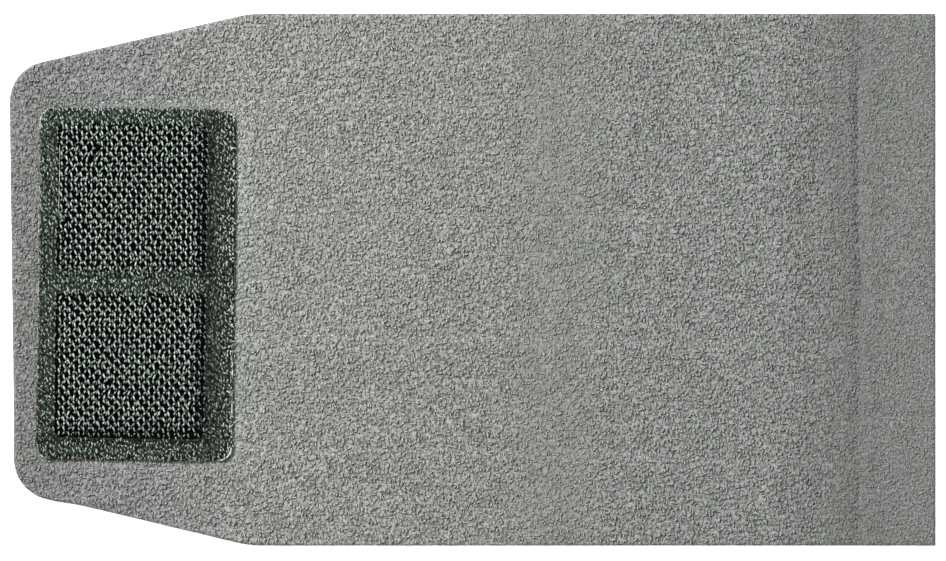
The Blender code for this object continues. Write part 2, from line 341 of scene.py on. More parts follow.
def patch_world(u, v):
    c, s = math.cos(PATCH_TURN), math.sin(PATCH_TURN)
    return PATCH_CENTRE[0] + u * c - v * s, PATCH_CENTRE[1] + u * s + v * c


def box_distance(over_u, over_v):
    """Distance outside a box, below zero inside it, from how far a point lies past its sides."""
    return np.hypot(np.maximum(over_u, 0), np.maximum(over_v, 0)) + np.minimum(np.maximum(over_u, over_v), 0)


def patch_distance(x, y):
    """How far outside the patch a point lies, below zero inside it."""
    u, v = patch_local(x, y)
    over_u = np.abs(u) - PATCH_HALF[0] + PATCH_CORNER
    over_v = np.abs(v) - PATCH_HALF[1] + PATCH_CORNER
    return box_distance(over_u, over_v) - PATCH_CORNER


def belt_grid(x_from, x_to, spacing, inset=0.0):
    """Flat quads that fill the belt between two places, closer together along its cut edges."""
    rim = np.array((0, 0.28, 0.6, 1.0)) * EDGE_ROLL
    if x_from is None:
        turn = np.linspace(0, math.pi / 2 - TAPER, 9)
        start = TIP_RADIUS * (1 - np.cos(turn))
    else:
        start = np.array([x_from + RIGHT])
    cut_end = x_to >= RIGHT
    stop = x_to + RIGHT - (rim[-1] if cut_end else 0)
    count = int(round((stop - start[-1]) / spacing))
    along = np.concatenate([start, np.linspace(start[-1], stop, count + 1)[1:]])
    if cut_end:
        along = np.concatenate([along, x_to + RIGHT - rim[-2::-1]])
    rows = int(round(2 * HALF_WIDTH / spacing))
    inner = half_width(along) - rim[-1]
    middle = inner[:, None] * np.linspace(-1, 1, rows + 1)
    side = half_width(along)[:, None] - rim[:-1]
    y = np.concatenate([-side, middle, side[:, ::-1]], axis=1)
    fade = np.clip(1 - along / TAPER_LENGTH, 0, 1)[:, None]
    fill = corner_fill(along[:, None], y)
    x, y = along[:, None] - RIGHT + tip_slant(y) * fade - 0.7 * fill, y - fill
    if inset:
        x = x + inset * (bell(along, 0.004) - bell(along - 2 * RIGHT, 0.004))[:, None]
        y = y * (1 - inset / HALF_WIDTH)
    return np.column_stack([x.ravel(), y.ravel()]), grid_quads(*y.shape)


def flat_area(flat, quads):
    corner = flat[quads]
    after = np.roll(corner, -1, axis=1)
    return float(np.sum(corner[:, :, 0] * after[:, :, 1] - corner[:, :, 1] * after[:, :, 0]) / 2)


# --- relief of the cloth ---

def anchor_groove(y):
    """How deep the flex line beside the sewing allowance is pressed, deepest over its upper half."""
    return GROOVE_DEPTH * (1 + smooth((y + 0.012) / 0.014) * smooth((0.046 - y) / 0.01))


def row_distance(x, y):
    """Distance from the nearest quilting row, far off beyond the rows' ends."""
    nearest = np.min([np.abs(y - row_line(row, x)) for row in range(len(ROWS_Y))], axis=0)
    return np.where((x > ROW_START_X) & (x < ROW_END_X), nearest, 1.0)


def row_line(row, x):
    """A quilting row's own line along the belt: it drops a little towards the anchor end, and wanders."""
    drop = ROW_SAG[row] * smooth((x - 0.012) / 0.055) - ROW_LIFT[row] * smooth((0.012 - x) / 0.05)
    return ROWS_Y[row] - drop + 0.00012 * np.sin(x * 260 + row)


def face_height(x, y):
    """The level that the tips of the pile reach."""
    waves = sum(height * value_noise(x, y, cell, seed) for height, cell, seed in WAVES)
    ridge = relief(x - CREASE_X + 0.0006 * value_noise(y, y * 0, 0.02, 3), CREASE_RIDGE)
    beyond = x - ANCHOR_X
    wander = 0.0005 * value_noise(y, y * 0, 0.012, 4)
    groove = anchor_groove(y) * bell(beyond - wander, GROOVE_SPREAD)
    lip = relief(beyond - LIP_PLACE - wander, GROOVE_LIP)
    pulled = relief(row_distance(x, y), ROW_PULL)
    seam = relief(x - SEAM_X, SEAM_PULL)
    pressed = relief(np.maximum(patch_distance(x, y), 0), PATCH_PRESS)
    return FACE_Z + waves + ridge - groove + lip - pulled - seam - pressed


def edge_roll(x, y):
    inside = np.clip(edge_distance(x, y) / EDGE_ROLL, 0, 1)
    return EDGE_DROP * (1 - np.sqrt(1 - (1 - inside) ** 2))


def pile_share(x, y):
    """How tall the pile stands, as a share: less at the crease, the anchor end, the patch and the edges."""
    crease = 1 - 0.32 * smooth(1.5 - np.abs(x - CREASE_X) / 0.0075)
    anchor = 1 - 0.42 * smooth((x - 0.068) / 0.006) - 0.18 * smooth((x - 0.08) / 0.003)
    beside = patch_distance(x, y)
    welded = 1 - 0.45 * smooth(1.3 - beside / 0.0022) + 1.45 * smooth(1 - beside / 0.0006)
    edge = 0.75 + 0.25 * smooth(edge_distance(x, y) / 0.0015)
    row = 1 - 0.35 * bell(row_distance(x, y), 0.0008)
    return crease * anchor * welded * edge * row


# --- materials ---

def new_material(name):
    made = bpy.data.materials.new(name)
    made.use_nodes = True
    return made, made.node_tree


def add(tree, kind, **inputs):
    """A node, with its sockets or its own settings set by name."""
    made = tree.nodes.new(kind)
    for key, value in inputs.items():
        socket = made.inputs.get(key.replace("_", " "))
        if socket is None:
            setattr(made, key, value)
        elif isinstance(value, bpy.types.NodeSocket):
            tree.links.new(value, socket)
        else:
            socket.default_value = value
    return made


def place(tree, stretch=(1, 1, 1), turn=0.0):
    """The point in metres, stretched and turned about Z for a texture."""
    where = add(tree, "ShaderNodeTexCoord").outputs["Object"]
    mapped = add(tree, "ShaderNodeMapping", Vector=where)
    mapped.inputs["Scale"].default_value = stretch
    mapped.inputs["Rotation"].default_value = (0, 0, turn)
    return mapped.outputs["Vector"]


def axis(tree, name):
    """The point's own X, Y or Z in metres."""
    return add(tree, "ShaderNodeSeparateXYZ", Vector=place(tree)).outputs[name]


def noise(tree, size, detail=2.0, roughness=0.5, stretch=(1, 1, 1)):
    """Fractal noise whose lumps are about that size in metres."""
    where = place(tree, stretch)
    made = add(tree, "ShaderNodeTexNoise", Vector=where, Scale=1 / size, Detail=detail, Roughness=roughness)
    return made.outputs["Fac"]


def wave(tree, pitch, direction, distortion, turn=0.0):
    """Bands of that pitch in metres, one after another in a direction."""
    where = place(tree, turn=turn)
    made = add(tree, "ShaderNodeTexWave", Vector=where, Scale=2 / pitch / WAVE_BANDS, Distortion=distortion)
    made.bands_direction = direction
    return made.outputs["Fac"]


def remap(tree, value, low, high, to_low=0.0, to_high=1.0):
    """A value brought from one range to another, and held within it."""
    made = add(tree, "ShaderNodeMapRange", Value=value, From_Min=low, From_Max=high,
               To_Min=to_low, To_Max=to_high)
    return made.outputs["Result"]


def ramp(tree, value, *stops):
    """A colour that runs through stops of (place, colour), where a bare number is a grey."""
    made = add(tree, "ShaderNodeValToRGB", Fac=value)
    band = made.color_ramp
    while len(band.elements) < len(stops):
        band.elements.new(0.5)
    for element, (position, colour) in zip(band.elements, stops):
        element.position = position
        element.color = (*colour, 1) if isinstance(colour, tuple) else (colour, colour, colour, 1)
    return made.outputs["Color"]


def mixed(tree, share, first, second, kind="MIX"):
    """Two colours mixed by a share, which is a socket or a number."""
    made = add(tree, "ShaderNodeMix", data_type="RGBA", blend_type=kind)
    tree.links.new(first, made.inputs[6])       # the colour sockets of this node share their names
    tree.links.new(second, made.inputs[7])
    if isinstance(share, bpy.types.NodeSocket):
        tree.links.new(share, made.inputs[0])
    else:
        made.inputs[0].default_value = share
    return made.outputs[2]


def multiplied(tree, first, second):
    return mixed(tree, 1.0, first, second, "MULTIPLY")


def combined(tree, operation, first, second):
    made = add(tree, "ShaderNodeMath", operation=operation)
    for socket, value in zip(made.inputs, (first, second)):
        if isinstance(value, bpy.types.NodeSocket):
            tree.links.new(value, socket)
        else:
            socket.default_value = value
    return made.outputs[0]


def finish(made, colour, rough_by, rough, relief, depth, specular=None, rough_over=(0.0, 1.0)):
    """Gives a material its colour, a roughness between two values, and relief of that depth in metres."""
    tree = made.node_tree
    shader = tree.nodes["Principled BSDF"]
    tree.links.new(colour, shader.inputs["Base Color"])
    tree.links.new(remap(tree, rough_by, *rough_over, *rough), shader.inputs["Roughness"])
    if specular is not None:
        shader.inputs["Specular IOR Level"].default_value = specular
    made_bump = add(tree, "ShaderNodeBump", Height=relief, Distance=depth, Strength=1.0)
    tree.links.new(made_bump.outputs["Normal"], shader.inputs["Normal"])
    return made


def belt_share(tree):
    """Where a point lies along the belt, from 0 at the tip to 1 at the anchor end, wavering a little."""
    waver = combined(tree, "MULTIPLY", noise(tree, 0.012, 3), 0.04)
    return combined(tree, "ADD", remap(tree, axis(tree, "X"), LEFT, RIGHT), waver)


def painted_light_and_tone(tree):
    """The pile's tone along the belt: darker at the tip, a painted pool of light just right of the patch, a
    painted shade step past the crease, darker towards the anchor end, with a random mottle.
    """
    # painted shade: a step darker just past the crease; also darker at the tip and towards the anchor end
    along = ramp(tree, belt_share(tree), (0.03, (0.72, 0.72, 0.73)), (0.13, (0.85, 0.85, 0.88)), (0.27, 1.0),
                 (0.33, 1.03), (0.55, (0.99, 0.98, 0.975)), (0.59, (0.88, 0.87, 0.86)),
                 (0.66, (0.93, 0.935, 0.94)), (0.84, (0.93, 0.94, 0.95)), (0.92, (0.68, 0.68, 0.685)),
                 (0.955, (0.68, 0.68, 0.69)), (0.965, (0.72, 0.725, 0.73)))
    # painted light: a paler pool just right of the patch, level with it, the rest of the pile a little darker
    beside = ramp(tree, belt_share(tree), (0.255, 0.0), (0.262, 1.0), (0.272, 1.0), (0.3, 0.0))
    reach = combined(tree, "ABSOLUTE", axis(tree, "Y"), 0)
    level_with = remap(tree, reach, PATCH_HALF[1] + 0.002, PATCH_HALF[1] - 0.004)
    share = combined(tree, "MULTIPLY", beside, level_with)
    painted_light_beside_patch = ramp(tree, share, (0.0, 0.91), (1.0, (0.955, 0.98, 0.98)))
    mottle = ramp(tree, noise(tree, 0.0055), (0.35, (0.945, 0.96, 0.945)), (0.65, (1.035, 1.025, 1.035)))
    return multiplied(tree, multiplied(tree, along, painted_light_beside_patch), mottle)


def matting(tree):
    """How far the pile is matted flat: somewhat where the belt folds, mostly beside the sewn anchor end."""
    return ramp(tree, belt_share(tree), (0.54, 0.0), (0.59, 0.42), (0.63, 0.42), (0.675, 0.0), (0.89, 0.0),
                (0.935, 0.5), (0.955, 1.0))


def pile_material():
    """Crimped polyamide loops: pale strands of slightly different greys."""
    made, tree = new_material("loop_pile")
    fine = noise(tree, 0.00065, 2, 0.55, GRAIN)
    strands = ramp(tree, fine, (0.33, (0.238, 0.239, 0.226)), (0.5, (0.319, 0.321, 0.303)),
                   (0.67, (0.412, 0.415, 0.392)))
    level = ramp(tree, noise(tree, MATTED), (0.34, (0.195, 0.197, 0.187)), (0.5, (0.29, 0.293, 0.277)),
                 (0.66, (0.405, 0.409, 0.386)))
    colour = multiplied(tree, mixed(tree, matting(tree), strands, level), painted_light_and_tone(tree))
    return finish(made, colour, fine, (0.75, 0.95), noise(tree, 0.00012), 0.00003, specular=0.3)


def ground_material():
    """The knitted ground under the loops: painted darker than the loops as shade beneath them, ribbed along
    the belt.
    """
    made, tree = new_material("loop_ground")
    ribs = combined(tree, "MULTIPLY", wave(tree, RIB_PITCH, "Y", 3.0, -RIB_TILT), 0.03)
    fibres = noise(tree, 0.0007, 3, 0.6, GRAIN)
    tone = combined(tree, "ADD", ribs, combined(tree, "MULTIPLY", fibres, 0.97))
    strands = ramp(tree, tone, (0.35, (0.06, 0.061, 0.057)), (0.5, (0.17, 0.172, 0.163)),
                   (0.65, (0.33, 0.334, 0.316)))
    level = ramp(tree, noise(tree, MATTED), (0.36, (0.11, 0.111, 0.105)), (0.5, (0.19, 0.192, 0.182)),
                 (0.64, (0.285, 0.288, 0.272)))
    colour = multiplied(tree, mixed(tree, matting(tree), strands, level), painted_light_and_tone(tree))
    return finish(made, colour, fibres, (0.8, 1.0), tone, 0.0004)


def foam_material():
    """Open-cell polyether foam: charcoal, with pores."""
    made, tree = new_material("foam_core")
    pores = add(tree, "ShaderNodeTexVoronoi", Vector=place(tree), Scale=1 / 0.0006).outputs["Distance"]
    cells = ramp(tree, pores, (0.1, (0.012, 0.012, 0.013)), (0.5, (0.04, 0.04, 0.043)),
                 (0.8, (0.075, 0.075, 0.078)))
    worn = ramp(tree, noise(tree, 0.0016, 3), (0.3, 0.8), (0.7, 1.0))
    return finish(made, multiplied(tree, cells, worn), pores, (0.95, 0.75), pores, 0.0004)


def lining_material():
    """Black warp knit: wales along the belt, courses across it, and a little lint."""
    made, tree = new_material("lining_knit")
    knit = combined(tree, "MULTIPLY", wave(tree, 0.001, "Y", 0.6), wave(tree, 0.0008, "X", 0.9))
    lint = noise(tree, 0.0012, 5, 0.75)
    height = combined(tree, "ADD", knit, combined(tree, "MULTIPLY", lint, 0.3))
    colour = ramp(tree, height, (0.15, (0.006, 0.006, 0.007)), (0.6, (0.02, 0.02, 0.022)),
                  (1.0, (0.045, 0.045, 0.048)))
    shader = tree.nodes["Principled BSDF"]
    shader.inputs["Sheen Weight"].default_value = 0.15
    shader.inputs["Sheen Roughness"].default_value = 0.5
    return finish(made, colour, lint, (0.65, 0.9), height, 0.00035)


def tape_material():
    """The hook tape's woven base between the stems: black, pushed to near black as painted shade between the
    stems.
    """
    made, tree = new_material("hook_tape")
    warp = wave(tree, HOOK_PITCH_X / 2, "X", 0.5, -PATCH_TURN)
    weft = wave(tree, HOOK_PITCH_Y / 4, "Y", 0.5, -PATCH_TURN)
    weave = combined(tree, "MULTIPLY", warp, weft)
    colour = ramp(tree, weave, (0.1, (0.0004, 0.0005, 0.0004)), (0.8, (0.003, 0.0036, 0.003)))
    return finish(made, colour, weave, (0.8, 0.5), weave, 0.0001, specular=0.02)


def hook_material():
    """Black monofilament, glossy along its length, with a painted highlight over its crown and painted shade
    lower down.
    """
    made, tree = new_material("hook_filament")
    # painted highlight and shade: the colour runs from near black low down to pale at the crown, by height,
    # through a noisy share
    crown = remap(tree, axis(tree, "Z"), HOOK_TOP - 0.0014, HOOK_TOP - 0.0002)
    worn = combined(tree, "MULTIPLY", crown, noise(tree, 0.0009, 3, 0.6))
    colour = ramp(tree, worn, (0.02, (0.004, 0.005, 0.0045)), (0.24, (0.11, 0.138, 0.117)),
                  (0.44, (0.22, 0.262, 0.23)), (0.66, (0.37, 0.428, 0.382)))
    return finish(made, colour, noise(tree, 0.0004), (0.22, 0.4), noise(tree, 0.00015), 0.00001, specular=0.8)


def weld_material():
    """Hook tape crushed and half melted by the welding tool: dark, with glossy flats."""
    made, tree = new_material("weld_frame")
    fine = noise(tree, 0.0005, 4, 0.65)
    colour = ramp(tree, fine, (0.35, (0.0009, 0.0012, 0.0009)), (0.52, (0.0075, 0.01, 0.008)),
                  (0.66, (0.048, 0.06, 0.049)))
    broad = noise(tree, 0.004, 3)
    return finish(made, colour, broad, (0.28, 0.5), fine, 0.0002, specular=0.04, rough_over=(0.3, 0.7))


def crushed_material():
    """Hooks pressed flat by the welding tool: pale scuffs that also stand as painted glints, black beneath;
    painted shade at the left edge and beside the right window, painted light along the right outer edge.
    """
    made, tree = new_material("crushed_filament")
    scuff_and_glint = noise(tree, 0.0009, 2, 0.6)
    # pale scuffs, which also stand as painted glints on the flattened hooks
    scuffs_and_painted_glints = ramp(tree, scuff_and_glint, (0.34, (0.026, 0.032, 0.027)), (0.5, (0.128, 0.158, 0.131)),
                   (0.66, (0.32, 0.375, 0.32)))
    # painted shade at the left outer edge and in a band beside the right window; painted light rising along
    # the right outer edge
    share = remap(tree, axis(tree, "X"), PATCH_CENTRE[0] - PATCH_HALF[0], PATCH_CENTRE[0] + PATCH_HALF[0])
    painted_light_and_shade = ramp(tree, share, (0.0, 0.5), (0.03, 0.85), (0.1, 0.95), (0.16, 1.08), (0.81, 1.08),
                  (0.87, 0.45), (0.91, 0.6), (0.945, 1.1), (1.0, 1.45))
    colour = multiplied(tree, scuffs_and_painted_glints, painted_light_and_shade)
    return finish(made, colour, scuff_and_glint, (0.45, 0.3), noise(tree, 0.0002), 0.00003)


def flash_and_highlight_material():
    """Melt squeezed out at the patch's edge, glossy, and painted pale as a highlight."""
    made, tree = new_material("weld_flash_and_highlight")
    cloud = noise(tree, 0.0012, 3, 0.6)
    colour = ramp(tree, cloud, (0.35, (0.1, 0.12, 0.105)), (0.5, (0.34, 0.37, 0.33)),
                  (0.65, (0.6, 0.64, 0.58)))
    return finish(made, colour, cloud, (0.45, 0.2), noise(tree, 0.0003), 0.00003)


def thread_material():
    """Pale grey corespun sewing thread with its twist."""
    made, tree = new_material("sewing_thread")
    twist = wave(tree, 0.00035, "X", 0.4, math.radians(35))
    colour = ramp(tree, twist, (0.2, (0.34, 0.34, 0.325)), (0.8, (0.56, 0.56, 0.54)))
    return finish(made, colour, twist, (0.75, 0.55), twist, 0.00006)


def floor_material():
    """White paper, bright enough to stay white under the lamps."""
    made, tree = new_material("studio_floor")
    shader = tree.nodes["Principled BSDF"]
    tree.links.new(ramp(tree, noise(tree, 0.05), (0, 0.82), (1, 0.84)), shader.inputs["Base Color"])
    shader.inputs["Roughness"].default_value = 0.9
    shader.inputs["Emission Color"].default_value = (1, 1, 1, 1)
    shader.inputs["Emission Strength"].default_value = 0.8
    return made


PILE, GROUND, FOAM, LINING = pile_material(), ground_material(), foam_material(), lining_material()
TAPE, HOOK, WELD, THREAD = tape_material(), hook_material(), weld_material(), thread_material()
CRUSHED, FLASH_AND_HIGHLIGHT = crushed_material(), flash_and_highlight_material()


# --- the laminate ---

def bend(piece):
    """Bakes a cloth piece's placement into its points."""
    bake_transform(piece)


def layer(name, x_from, x_to, spacing, inset, top, bottom, material, bulge):
    """A layer of the laminate on one side of the split, its faces in relief or level, and its flat area."""
    flat, quads = belt_grid(x_from, x_to, spacing, inset)
    x, y = flat.T
    over, under = (face(x, y) if callable(face) else face + 0 * x for face in (top, bottom))
    piece = slab(name, flat, quads, over, under, material, bulge)
    bend(piece)
    return piece, flat_area(flat, quads)


def both_halves(name, *cut):
    """A layer's two pieces, on either side of the split, each with its flat area."""
    return layer(f"{name}_main", None, SPLIT_X, *cut), layer(f"{name}_anchor", SPLIT_X, RIGHT, *cut)


def ground_top(x, y):
    return face_height(x, y) - GROUND_DEPTH - edge_roll(x, y)


def foam_top(x, y):
    return FACING_BOTTOM - 0.00015 + 0.00003 * value_noise(x, y, 0.002, 8)


def lining_bottom(x, y):
    """The underside: a soft edge, and a shallow channel along every seam."""
    channel = 0.00022 * bell(row_distance(x, y), 0.0009) + 0.0002 * bell(x - SEAM_X, 0.0008)
    waves = 0.00005 * (1 + value_noise(x, y, 0.008, 9))
    return channel + waves + 0.6 * edge_roll(x, y)


# --- the pile ---

def pile_strands():
    """The middle, heading and size of every loop, scattered about ribs that climb slightly along the belt."""
    random = np.random.RandomState(21)
    reach_s, reach_q = RIGHT + 0.006, HALF_WIDTH + 0.01
    s, q = np.meshgrid(np.arange(-reach_s, reach_s, LOOP_SPACING), np.arange(-reach_q, reach_q, RIB_PITCH))
    s, q = s.ravel(), q.ravel()
    s = s + random.uniform(-0.5, 0.5, len(s)) * LOOP_SPACING
    q = q + random.uniform(-0.5, 0.5, len(q)) * RIB_PITCH
    x = s * math.cos(RIB_TILT) - q * math.sin(RIB_TILT)
    y = s * math.sin(RIB_TILT) + q * math.cos(RIB_TILT)
    keep = (edge_distance(x, y) > 0.00042) & (patch_distance(x, y) > -0.00035)
    x, y = x[keep], y[keep]
    heading = random.normal(LOOP_HEADING, LOOP_STRAY, len(x))
    span = random.uniform(*LOOP_SPANS, len(x))
    curl = random.uniform(-LOOP_CURL, LOOP_CURL, len(x))
    lift = random.uniform(*LOOP_LIFTS, len(x))
    thick = random.uniform(*LOOP_THICKNESSES, len(x)) * LOOP_RADIUS
    return x, y, heading, span, curl, lift, thick


def pile_piece(name, strands, keep):
    """Loops that spring from the ground, run over it and dive back in."""
    x, y, heading, span, curl, lift, thick = (values[keep][:, None] for values in strands)
    step = np.array((-1.0, -0.5, 0.5, 1.0))[None, :]
    along, across = span / 2 * step, curl * (step**2 - 0.5)
    px = x + along * np.cos(heading) - across * np.sin(heading)
    py = y + along * np.sin(heading) + across * np.cos(heading)
    arch = np.sqrt(np.maximum(1 - (0.98 * step) ** 2, 0))
    rise = LOOP_HEIGHT * lift * pile_share(x, y)
    pz = face_height(x, y) - GROUND_DEPTH - edge_roll(x, y) - 0.00008 + (rise + 0.00008) * arch
    paths = np.stack([px, py, pz], axis=-1)
    piece = tubes(name, paths, crosswise(heading[:, 0]), thick, 3, PILE)
    bend(piece)
    return piece


# --- the sewing threads ---

def sewn(name, paths, sideways, radii):
    """Stitches of thread, their thickness given along each one."""
    sideways = np.tile(sideways, (len(paths), 1))
    piece = tubes(name, paths, sideways, THREAD_RADIUS * np.array(radii), 6, THREAD)
    bend(piece)
    return piece


def row_threads(name, x_from, x_to, under):
    """One side of the quilting rows, on one side of the split: each stitch shows only where it crests."""
    random = np.random.RandomState(51 if under else 52)
    count = int(round((x_to - x_from) / STITCH))
    step = np.array((0, 0.25, 0.41, 0.5, 0.59, 0.75, 1.0))[None, :]
    shape = np.array((-1.0, -0.8, -0.2, 1.0, -0.2, -0.8, -1.0))[None, :]
    paths = []
    for row, depth in enumerate(ROW_DEPTH):
        x = x_from + (np.arange(count)[:, None] + step) * (x_to - x_from) / count
        y = row_line(row, x)
        if under:
            z = lining_bottom(x, y) + 0.00012 - 0.00022 * shape
        else:
            worn = LOOP_HEIGHT * (1 - pile_share(x, y))
            past_patch = 0.00012 * smooth((x + 0.04) / 0.03)
            sunk = depth + random.uniform(0, 0.00022, count)[:, None] + 0.8 * worn + past_patch
            z = face_height(x, y) - 0.00032 - sunk + 0.00032 * shape
        paths.append(np.stack([x, y, z], axis=-1))
    return sewn(name, np.concatenate(paths), (0.0, 1.0, 0.0), CREST_RADII)


def seam_thread(name, under):
    """The sewn line across the anchor end."""
    count = int(round(2 * SEAM_REACH / STITCH))
    step = np.linspace(0, 1, 7)[None, :]
    shape = np.array((-1.0, 0.0, 0.8, 1.0, 0.8, 0.0, -1.0))[None, :]
    y = -SEAM_REACH + (np.arange(count)[:, None] + step) * 2 * SEAM_REACH / count
    x = SEAM_X + 0 * y
    if under:
        z = lining_bottom(x, y) + 0.00012 - 0.00022 * shape
    else:
        z = face_height(x, y) - 0.001 + 0.00022 * shape
    return sewn(name, np.stack([x, y, z], axis=-1), (-1.0, 0.0, 0.0), (0.7, 1, 1, 1, 1, 1, 0.7))


# --- the hook patch ---

def patch_grid(spacing, windows):
    """Flat quads over the patch, on its own axes, with the windows where hooks stand left open or not."""
    def lines(edges):
        counts = [max(2, int(round((b - a) / spacing)) + 1) for a, b in zip(edges, edges[1:])]
        parts = [np.linspace(a, b, count)[:-1] for a, b, count in zip(edges, edges[1:], counts)]
        return np.concatenate([*parts, [edges[-1]]])
    upper, lower = CELLS_Y["upper"], CELLS_Y["lower"]
    us = lines([-PATCH_HALF[0], *CELL_X, PATCH_HALF[0]])
    vs = lines([-PATCH_HALF[1], lower[0], lower[1], upper[0], upper[1], PATCH_HALF[1]])
    u, v = (grid.ravel() for grid in np.meshgrid(us, vs, indexing="ij"))
    quads = grid_quads(len(us), len(vs))
    if windows:
        mid_u, mid_v = u[quads].mean(axis=1), v[quads].mean(axis=1)
        in_u = (mid_u > CELL_X[0]) & (mid_u < CELL_X[1])
        in_v = ((mid_v > lower[0]) & (mid_v < lower[1])) | ((mid_v > upper[0]) & (mid_v < upper[1]))
        quads = quads[~(in_u & in_v)]
        for cell in (upper, lower):
            middle = (sum(CELL_X) / 2, sum(cell) / 2)
            half = ((CELL_X[1] - CELL_X[0]) / 2, (cell[1] - cell[0]) / 2)
            u, v = rounded(u, v, middle, half, CELL_CORNER, inward=False)
    u, v = rounded(u, v, (0, 0), PATCH_HALF, PATCH_CORNER, inward=True)
    ragged = 0.00016 * value_noise(u, v, 0.001, 14) * smooth(1 + patch_distance(*patch_world(u, v)) / 0.001)
    u, v = u * (1 + ragged / PATCH_HALF[0]), v * (1 + ragged / PATCH_HALF[1])
    used, quads = np.unique(quads, return_inverse=True)
    return u[used], v[used], quads.reshape(-1, 4)


def rounded(u, v, middle, half, radius, inward):
    """Turns a box's square corners into arcs, a change that fades out inwards or outwards."""
    a = np.abs(u - middle[0]) - half[0] + radius
    b = np.abs(v - middle[1]) - half[1] + radius
    reach = np.maximum(np.maximum(a, b), 1e-9)
    near = (a > 0) & (b > 0)
    if inward:
        share = (reach / radius) ** 2
    else:
        near &= (reach < 2 * radius) & (reach > 0.9 * radius)
        share = 1 - smooth((reach - radius) / radius)
    factor = 1 + (reach / np.maximum(np.hypot(a, b), 1e-9) - 1) * share
    new_u = np.where(near, middle[0] + np.sign(u - middle[0]) * (a * factor + half[0] - radius), u)
    new_v = np.where(near, middle[1] + np.sign(v - middle[1]) * (b * factor + half[1] - radius), v)
    return new_u, new_v


def window_distance(u, v):
    """How far a point of the frame lies from the nearest window, below zero inside a window."""
    found = np.full(np.shape(u), 1.0)
    for cell in CELLS_Y.values():
        over_u = np.maximum(CELL_X[0] - u, u - CELL_X[1])
        over_v = np.maximum(cell[0] - v, v - cell[1])
        found = np.minimum(found, box_distance(over_u, over_v))
    return found


def patch_sink(u, v):
    """How far the welding tool pressed the frame down into the pile, a little more along its outer edge."""
    valley = FRAME_VALLEY[0] * smooth(window_distance(u, v) / FRAME_VALLEY[1])
    edge = FRAME_EDGE[0] * (1 - smooth(-patch_distance(*patch_world(u, v)) / FRAME_EDGE[1]))
    return valley + edge


def frame_top(u, v):
    """The crushed frame: flattened hooks still show on their lattice, and both edges roll down."""
    row = np.floor(u / HOOK_PITCH_X + 0.5)
    columns = np.cos(2 * math.pi * u / HOOK_PITCH_X)
    lattice = columns * np.cos(2 * math.pi * (v / HOOK_PITCH_Y + row * 0.5) * 2)
    lumps = 0.0001 * value_noise(u, v, 0.0007, 11) + 0.00008 * value_noise(u, v, 0.0023, 12)
    roll_in = FRAME_ROLL[0] * (1 - smooth(window_distance(u, v) / FRAME_ROLL[1]))
    return FRAME_Z + (0.00006 * lattice + lumps) - patch_sink(u, v) - roll_in


def lengthwise(angle):
    """The level directions at some angles on the patch's own axes."""
    return np.column_stack([np.cos(angle + PATCH_TURN), np.sin(angle + PATCH_TURN), np.zeros(len(angle))])


def hook_paths(u, v, lean, top, random):
    """Standing hooks: a leaning stem, then a flat-topped crown that bends over and points back down."""
    count = len(u)
    radius = random.uniform(0.00032, 0.00045, count)
    tip = random.uniform(-0.5, 0.2, count)
    turn = np.stack([np.linspace(math.pi, angle, 7) for angle in tip])
    reach = radius[:, None] * (1 + np.sign(np.cos(turn)) * np.abs(np.cos(turn)) ** 0.8)
    rise = 0.62 * radius[:, None] * np.sign(np.sin(turn)) * np.abs(np.sin(turn)) ** 0.8
    crown = (top - 0.62 * radius)[:, None] + rise
    reach = np.concatenate([np.full((count, 1), -0.00034), reach], axis=1) - radius[:, None]
    height = np.concatenate([np.full((count, 1), ROOT_Z), crown], axis=1)
    du, dv = np.sin(lean)[:, None], -np.cos(lean)[:, None]
    x, y = patch_world(u[:, None] + reach * du, v[:, None] + reach * dv)
    return np.stack([x, y, height], axis=-1), lengthwise(lean)


def stump_paths(u, v, lean, top, random):
    """The other half of each cut loop: a bent stump below the hook's point, leaning to the next column."""
    count = len(u)
    back = -np.sign(lean) * random.uniform(0.3, 0.85, count)
    gap = 0.00078 + random.normal(0, 0.00006, count)
    height = top - random.uniform(0.00022, 0.00055, count)
    reach = np.array((0.0, 0.00006, 0.0003, 0.0006))[None, :]
    pu = (u + gap * np.sin(lean))[:, None] + reach * np.sin(back)[:, None]
    pv = (v - gap * np.cos(lean))[:, None] - reach * np.cos(back)[:, None]
    x, y = patch_world(pu, pv)
    levels = np.stack([np.full(count, ROOT_Z), height - 0.00024, height, height - 0.0002], axis=1)
    return np.stack([x, y, levels], axis=-1), lengthwise(back)


def strokes(u, v, heading, half, step, curl=0.0):
    """Points along short strokes, on the patch's own axes, and the level direction across each stroke."""
    along = half[:, None] * step
    c, s = np.cos(heading)[:, None], np.sin(heading)[:, None]
    pu, pv = u[:, None] + along * c - curl * s, v[:, None] + along * s + curl * c
    return pu, pv, crosswise(heading + PATCH_TURN)


def bent_paths(u, v, top, random):
    """Legs of cut loops that lie bent over between the columns, well below the hooks' crowns."""
    count = len(u)
    heading = math.pi / 2 + random.normal(-0.15, 0.4, count)
    half = random.uniform(0.0003, 0.00048, count)
    step = np.array((-1, -0.6, 0, 0.6, 1.0))[None, :]
    middle_u = u + HOOK_PITCH_X / 2 + random.normal(0, 0.00007, count)
    middle_v = v - HOOK_PITCH_Y * random.uniform(0.1, 0.6, count)
    pu, pv, sideways = strokes(middle_u, middle_v, heading, half, step)
    x, y = patch_world(pu, pv)
    z = (top - random.uniform(0.00045, 0.00115, count))[:, None] - 0.00022 * step**2
    return np.stack([x, y, z], axis=-1), sideways


